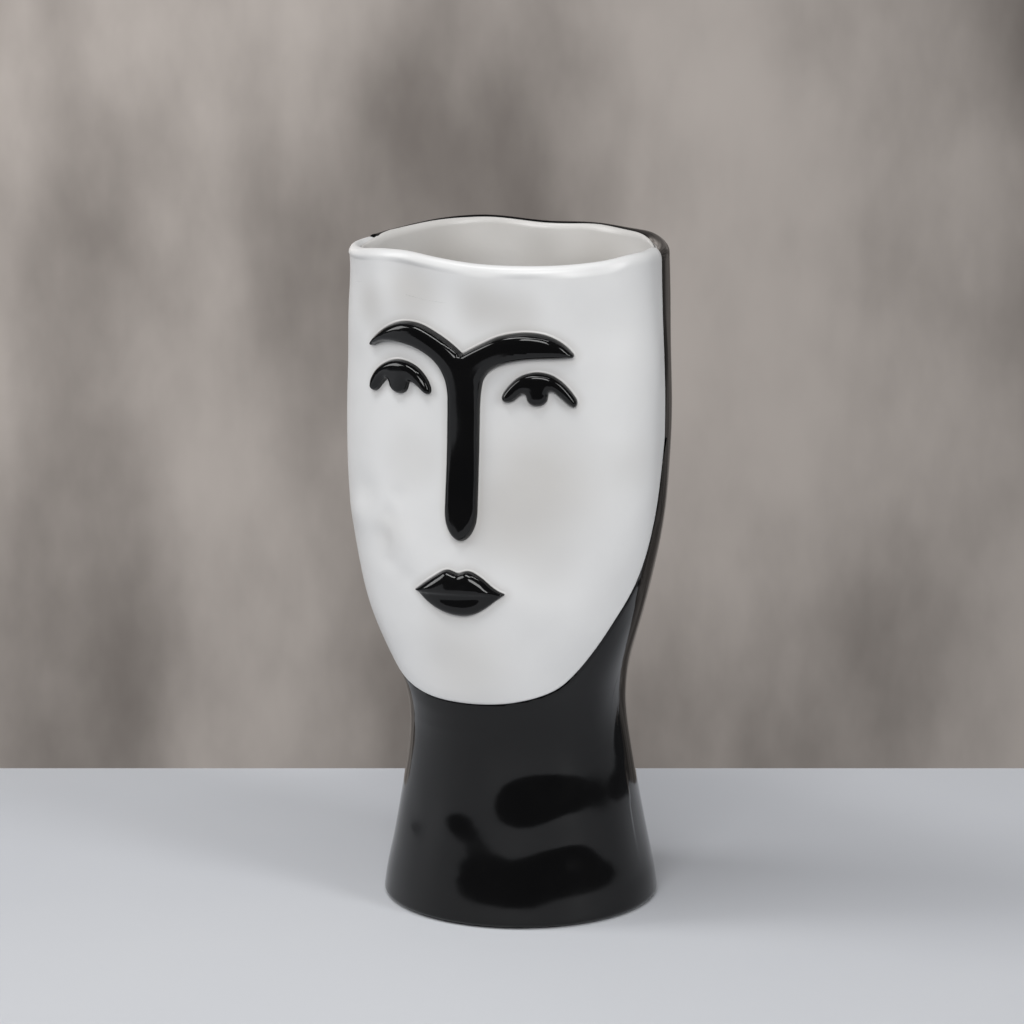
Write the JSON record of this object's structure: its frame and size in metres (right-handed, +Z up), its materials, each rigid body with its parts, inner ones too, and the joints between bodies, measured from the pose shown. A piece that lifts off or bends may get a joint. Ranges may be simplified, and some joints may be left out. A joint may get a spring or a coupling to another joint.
{
  "type": "face vase",
  "caption": "Tall stoneware vase shaped as a head on a flared neck, with a white face panel, black relief features and a black glazed back.",
  "frame": {"origin": "centre of the unglazed foot ring's underside, on the table", "axes": "+Z up, -Y out of the face towards the viewer, +X to the viewer's right"},
  "size_m": [0.1438, 0.1296, 0.2945],
  "materials": {
    "black_glaze": "gloss",
    "white_glaze": "gloss",
    "bare_clay": "matte"
  },
  "bodies": {
    "root": {"rear_shell": "black_glaze", "face_panel": "white_glaze", "glaze_lining": "white_glaze", "floor_slab": "bare_clay", "foot_ring": "bare_clay", "brow_and_nose": "black_glaze", "left_eye": "black_glaze", "right_eye": "black_glaze", "lips": "black_glaze"}
  },
  "joints": []
}
